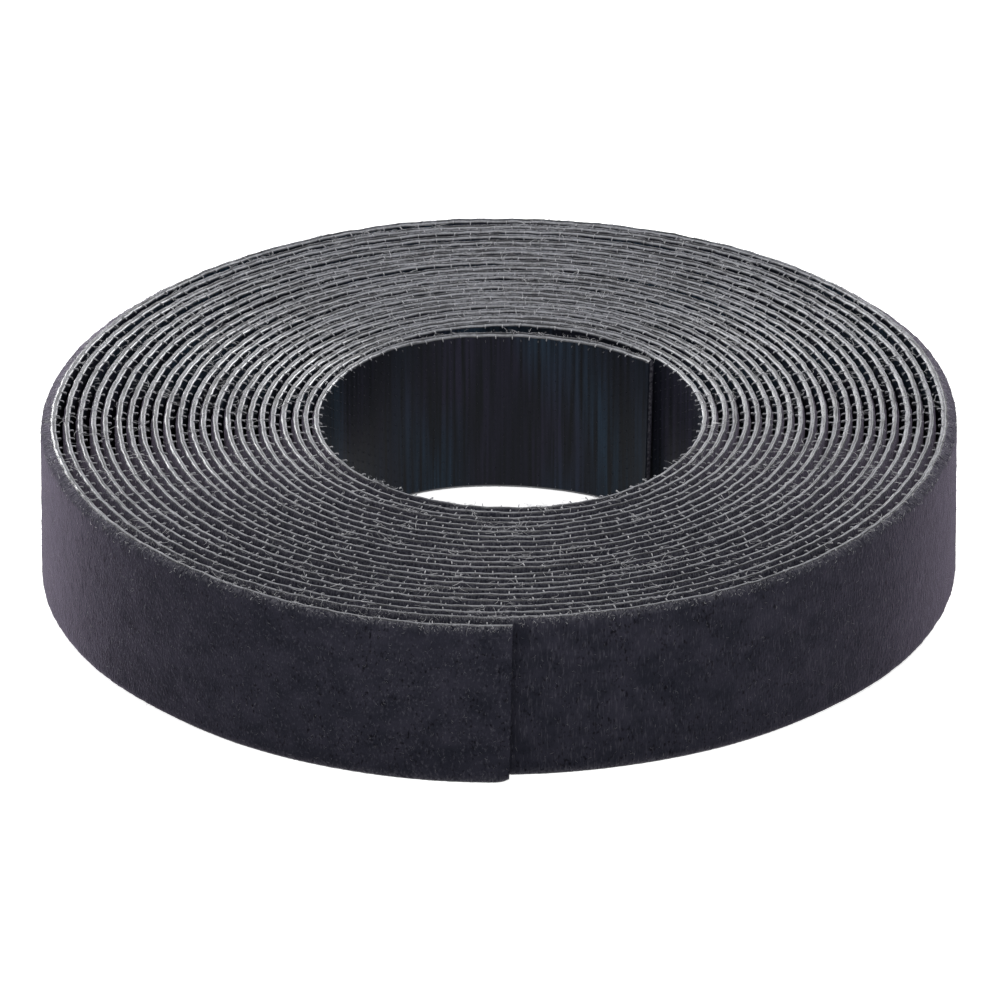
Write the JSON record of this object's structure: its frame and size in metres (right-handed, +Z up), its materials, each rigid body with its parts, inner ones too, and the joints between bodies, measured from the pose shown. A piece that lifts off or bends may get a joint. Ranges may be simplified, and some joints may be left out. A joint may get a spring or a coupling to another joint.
{
  "type": "hook and loop tape roll",
  "caption": "Roll of back-to-back hook and loop tape wound flat on itself without a core, hooks facing the bore and brushed loop pile facing out, with both free ends able to peel away.",
  "frame": {"origin": "middle of the roll's outline, in the plane that it lies on", "axes": "+Z up along the roll's axis, -Y towards the outer end of the tape"},
  "size_m": [0.0994, 0.1006, 0.019],
  "materials": {
    "hook_film": "satin moulded film with fine hooks",
    "loop_cloth": "brushed loop pile"
  },
  "bodies": {
    "roll": {"hook_film_winding": "hook_film", "loop_cloth_winding": "loop_cloth"},
    "inner_end_1": {"inner_end_film_1": "hook_film", "inner_end_cloth_1": "loop_cloth"},
    "inner_end_2": {"inner_end_film_2": "hook_film", "inner_end_cloth_2": "loop_cloth"},
    "inner_end_3": {"inner_end_film_3": "hook_film", "inner_end_cloth_3": "loop_cloth"},
    "inner_end_4": {"inner_end_film_4": "hook_film", "inner_end_cloth_4": "loop_cloth"},
    "inner_end_5": {"inner_end_film_5": "hook_film", "inner_end_cloth_5": "loop_cloth"},
    "inner_end_6": {"inner_end_film_6": "hook_film", "inner_end_cloth_6": "loop_cloth"},
    "outer_end_1": {"outer_end_film_1": "hook_film", "outer_end_cloth_1": "loop_cloth"},
    "outer_end_2": {"outer_end_film_2": "hook_film", "outer_end_cloth_2": "loop_cloth"},
    "outer_end_3": {"outer_end_film_3": "hook_film", "outer_end_cloth_3": "loop_cloth"},
    "outer_end_4": {"outer_end_film_4": "hook_film", "outer_end_cloth_4": "loop_cloth"},
    "outer_end_5": {"outer_end_film_5": "hook_film", "outer_end_cloth_5": "loop_cloth"},
    "outer_end_6": {"outer_end_film_6": "hook_film", "outer_end_cloth_6": "loop_cloth"}
  },
  "joints": [
    {"name": "outer_peel", "type": "hinge", "parent": "roll", "child": "outer_end_1", "pos_m": [-0.04291, -0.02539, 0], "axis": [0, 0, -1], "range_deg": [0, 32], "stiffness_Nm_per_rad": 0.0001},
    {"name": "outer_bend_2", "type": "hinge", "parent": "outer_end_1", "child": "outer_end_2", "pos_m": [-0.03782, -0.03259, 0], "axis": [0, 0, -1], "range_deg": [0, 16], "stiffness_Nm_per_rad": 0.0001},
    {"name": "outer_bend_3", "type": "hinge", "parent": "outer_end_2", "child": "outer_end_3", "pos_m": [-0.03156, -0.03881, 0], "axis": [0, 0, -1], "range_deg": [0, 16], "stiffness_Nm_per_rad": 0.0001},
    {"name": "outer_bend_4", "type": "hinge", "parent": "outer_end_3", "child": "outer_end_4", "pos_m": [-0.02429, -0.04386, 0], "axis": [0, 0, -1], "range_deg": [0, 16], "stiffness_Nm_per_rad": 0.0001},
    {"name": "outer_bend_5", "type": "hinge", "parent": "outer_end_4", "child": "outer_end_5", "pos_m": [-0.01622, -0.04754, 0], "axis": [0, 0, -1], "range_deg": [0, 16], "stiffness_Nm_per_rad": 0.0001},
    {"name": "outer_bend_6", "type": "hinge", "parent": "outer_end_5", "child": "outer_end_6", "pos_m": [-0.00762, -0.04971, 0], "axis": [0, 0, -1], "range_deg": [0, 16], "stiffness_Nm_per_rad": 0.0001},
    {"name": "inner_peel", "type": "hinge", "parent": "roll", "child": "inner_end_1", "pos_m": [-0.01393, 0.01548, 0], "axis": [0, 0, -1], "range_deg": [0, 24], "stiffness_Nm_per_rad": 0.0001},
    {"name": "inner_bend_2", "type": "hinge", "parent": "inner_end_1", "child": "inner_end_2", "pos_m": [-0.00946, 0.01899, 0], "axis": [0, 0, -1], "range_deg": [0, 12], "stiffness_Nm_per_rad": 0.0001},
    {"name": "inner_bend_3", "type": "hinge", "parent": "inner_end_2", "child": "inner_end_3", "pos_m": [-0.00409, 0.0208, 0], "axis": [0, 0, -1], "range_deg": [0, 12], "stiffness_Nm_per_rad": 0.0001},
    {"name": "inner_bend_4", "type": "hinge", "parent": "inner_end_3", "child": "inner_end_4", "pos_m": [0.00148, 0.02099, 0], "axis": [0, 0, -1], "range_deg": [0, 12], "stiffness_Nm_per_rad": 0.0001},
    {"name": "inner_bend_5", "type": "hinge", "parent": "inner_end_4", "child": "inner_end_5", "pos_m": [0.00684, 0.01988, 0], "axis": [0, 0, -1], "range_deg": [0, 12], "stiffness_Nm_per_rad": 0.0001},
    {"name": "inner_bend_6", "type": "hinge", "parent": "inner_end_5", "child": "inner_end_6", "pos_m": [0.01179, 0.01762, 0], "axis": [0, 0, -1], "range_deg": [0, 12], "stiffness_Nm_per_rad": 0.0001}
  ],
  "couplings": [
    {"joint": "outer_bend_2", "follows": "outer_peel", "ratio": 0.5},
    {"joint": "outer_bend_3", "follows": "outer_peel", "ratio": 0.5},
    {"joint": "outer_bend_4", "follows": "outer_peel", "ratio": 0.5},
    {"joint": "outer_bend_5", "follows": "outer_peel", "ratio": 0.5},
    {"joint": "outer_bend_6", "follows": "outer_peel", "ratio": 0.5},
    {"joint": "inner_bend_2", "follows": "inner_peel", "ratio": 0.5},
    {"joint": "inner_bend_3", "follows": "inner_peel", "ratio": 0.5},
    {"joint": "inner_bend_4", "follows": "inner_peel", "ratio": 0.5},
    {"joint": "inner_bend_5", "follows": "inner_peel", "ratio": 0.5},
    {"joint": "inner_bend_6", "follows": "inner_peel", "ratio": 0.5}
  ]
}
